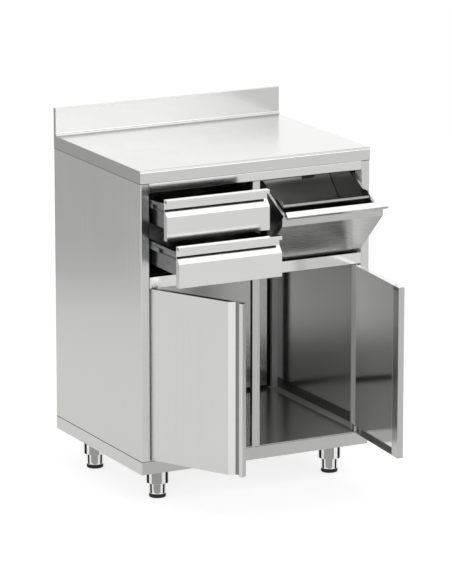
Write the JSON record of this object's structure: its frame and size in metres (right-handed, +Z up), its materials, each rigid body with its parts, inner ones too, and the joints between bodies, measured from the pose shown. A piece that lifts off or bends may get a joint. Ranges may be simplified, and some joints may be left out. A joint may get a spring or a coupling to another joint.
{
  "type": "coffee machine cabinet",
  "caption": "Free-standing stainless steel cabinet for a coffee machine: worktop with upstand, stacked drawers, tilt-out knock-out hopper, hinged doors and adjustable legs",
  "frame": {"origin": "on the floor, under the middle of the box that holds the cabinet with its fronts open as in the rest pose", "axes": "+X to the right seen from the front, +Y from the front to the back, +Z up"},
  "size_m": [0.8, 0.9553, 1.15],
  "materials": {
    "stainless_sheet": "fine satin",
    "turned_steel": "bright turned",
    "strike_steel": "dull",
    "zinc_plated_steel": "zinc plated",
    "core_board": "raw board",
    "black_plastic": "fine grain",
    "grey_plastic": "fine grain",
    "white_plastic": "smooth",
    "black_rubber": "matte"
  },
  "bodies": {
    "carcass": {"back_liner": "stainless_sheet", "back_panel": "stainless_sheet", "base_stiffeners": "stainless_sheet", "base_tray": "stainless_sheet", "bay_floor": "stainless_sheet", "bay_liner_left": "stainless_sheet", "bay_liner_right": "stainless_sheet", "bay_partition": "stainless_sheet", "centre_post": "stainless_sheet", "compartment_floor": "stainless_sheet", "door_catches": "grey_plastic", "hinge_pins": "turned_steel", "hopper_buffers": "black_rubber", "leg_bolts": "turned_steel", "leg_plates": "turned_steel", "leg_sleeves": "turned_steel", "mid_rail": "stainless_sheet", "mullion": "stainless_sheet", "rear_posts": "stainless_sheet", "runner_channels": "zinc_plated_steel", "runner_screws": "zinc_plated_steel", "side_panel_left": "stainless_sheet", "side_panel_right": "stainless_sheet", "top_rail_front": "stainless_sheet", "top_rail_rear": "stainless_sheet", "worktop": "stainless_sheet", "worktop_core": "core_board"},
    "left_door": {"left_door_skin": "stainless_sheet", "left_door_liner": "stainless_sheet", "left_door_bushes": "white_plastic", "left_door_strike": "strike_steel"},
    "right_door": {"right_door_skin": "stainless_sheet", "right_door_liner": "stainless_sheet", "right_door_bushes": "white_plastic", "right_door_strike": "strike_steel"},
    "hopper": {"hopper_front": "stainless_sheet", "hopper_liner": "stainless_sheet", "hopper_bushes": "white_plastic", "hopper_body": "stainless_sheet", "knock_bar": "turned_steel", "bar_brackets": "stainless_sheet"},
    "upper_drawer": {"upper_drawer_front": "stainless_sheet", "upper_drawer_liner": "stainless_sheet", "upper_drawer_box": "stainless_sheet", "upper_drawer_runners": "zinc_plated_steel"},
    "upper_slides": {"upper_slide_middles": "zinc_plated_steel"},
    "lower_drawer": {"lower_drawer_front": "stainless_sheet", "lower_drawer_liner": "stainless_sheet", "lower_drawer_box": "stainless_sheet", "lower_drawer_runners": "zinc_plated_steel"},
    "lower_slides": {"lower_slide_middles": "zinc_plated_steel"},
    "foot_front_left": {"foot_tube_front_left": "turned_steel", "foot_pad_front_left": "black_plastic"},
    "foot_front_right": {"foot_tube_front_right": "turned_steel", "foot_pad_front_right": "black_plastic"},
    "foot_rear_left": {"foot_tube_rear_left": "turned_steel", "foot_pad_rear_left": "black_plastic"},
    "foot_rear_right": {"foot_tube_rear_right": "turned_steel", "foot_pad_rear_right": "black_plastic"}
  },
  "joints": [
    {"name": "left_door_hinge", "type": "hinge", "parent": "carcass", "child": "left_door", "pos_m": [-0.359, -0.13431, 0.4166], "axis": [0, 0, -1], "range_deg": [-62, 43]},
    {"name": "right_door_hinge", "type": "hinge", "parent": "carcass", "child": "right_door", "pos_m": [0.359, -0.13431, 0.4166], "axis": [0, 0, 1], "range_deg": [-85, 20]},
    {"name": "hopper_tilt", "type": "hinge", "parent": "carcass", "child": "hopper", "pos_m": [0.192, -0.13531, 0.741], "axis": [1, 0, 0], "range_deg": [-46, 0]},
    {"name": "upper_drawer_slide", "type": "slide", "parent": "carcass", "child": "upper_drawer", "axis": [0, -1, 0], "range_m": [-0.118, 0.332]},
    {"name": "upper_slides_travel", "type": "slide", "parent": "carcass", "child": "upper_slides", "axis": [0, -1, 0], "range_m": [-0.059, 0.166]},
    {"name": "lower_drawer_slide", "type": "slide", "parent": "carcass", "child": "lower_drawer", "axis": [0, -1, 0], "range_m": [-0.199, 0.251]},
    {"name": "lower_slides_travel", "type": "slide", "parent": "carcass", "child": "lower_slides", "axis": [0, -1, 0], "range_m": [-0.0995, 0.1255]},
    {"name": "foot_front_left_level", "type": "slide", "parent": "carcass", "child": "foot_front_left", "axis": [0, 0, 1], "range_m": [-0.025, 0.01]},
    {"name": "foot_front_right_level", "type": "slide", "parent": "carcass", "child": "foot_front_right", "axis": [0, 0, 1], "range_m": [-0.025, 0.01]},
    {"name": "foot_rear_left_level", "type": "slide", "parent": "carcass", "child": "foot_rear_left", "axis": [0, 0, 1], "range_m": [-0.025, 0.01]},
    {"name": "foot_rear_right_level", "type": "slide", "parent": "carcass", "child": "foot_rear_right", "axis": [0, 0, 1], "range_m": [-0.025, 0.01]}
  ],
  "couplings": [
    {"joint": "upper_slides_travel", "follows": "upper_drawer_slide", "ratio": 0.5},
    {"joint": "lower_slides_travel", "follows": "lower_drawer_slide", "ratio": 0.5}
  ]
}
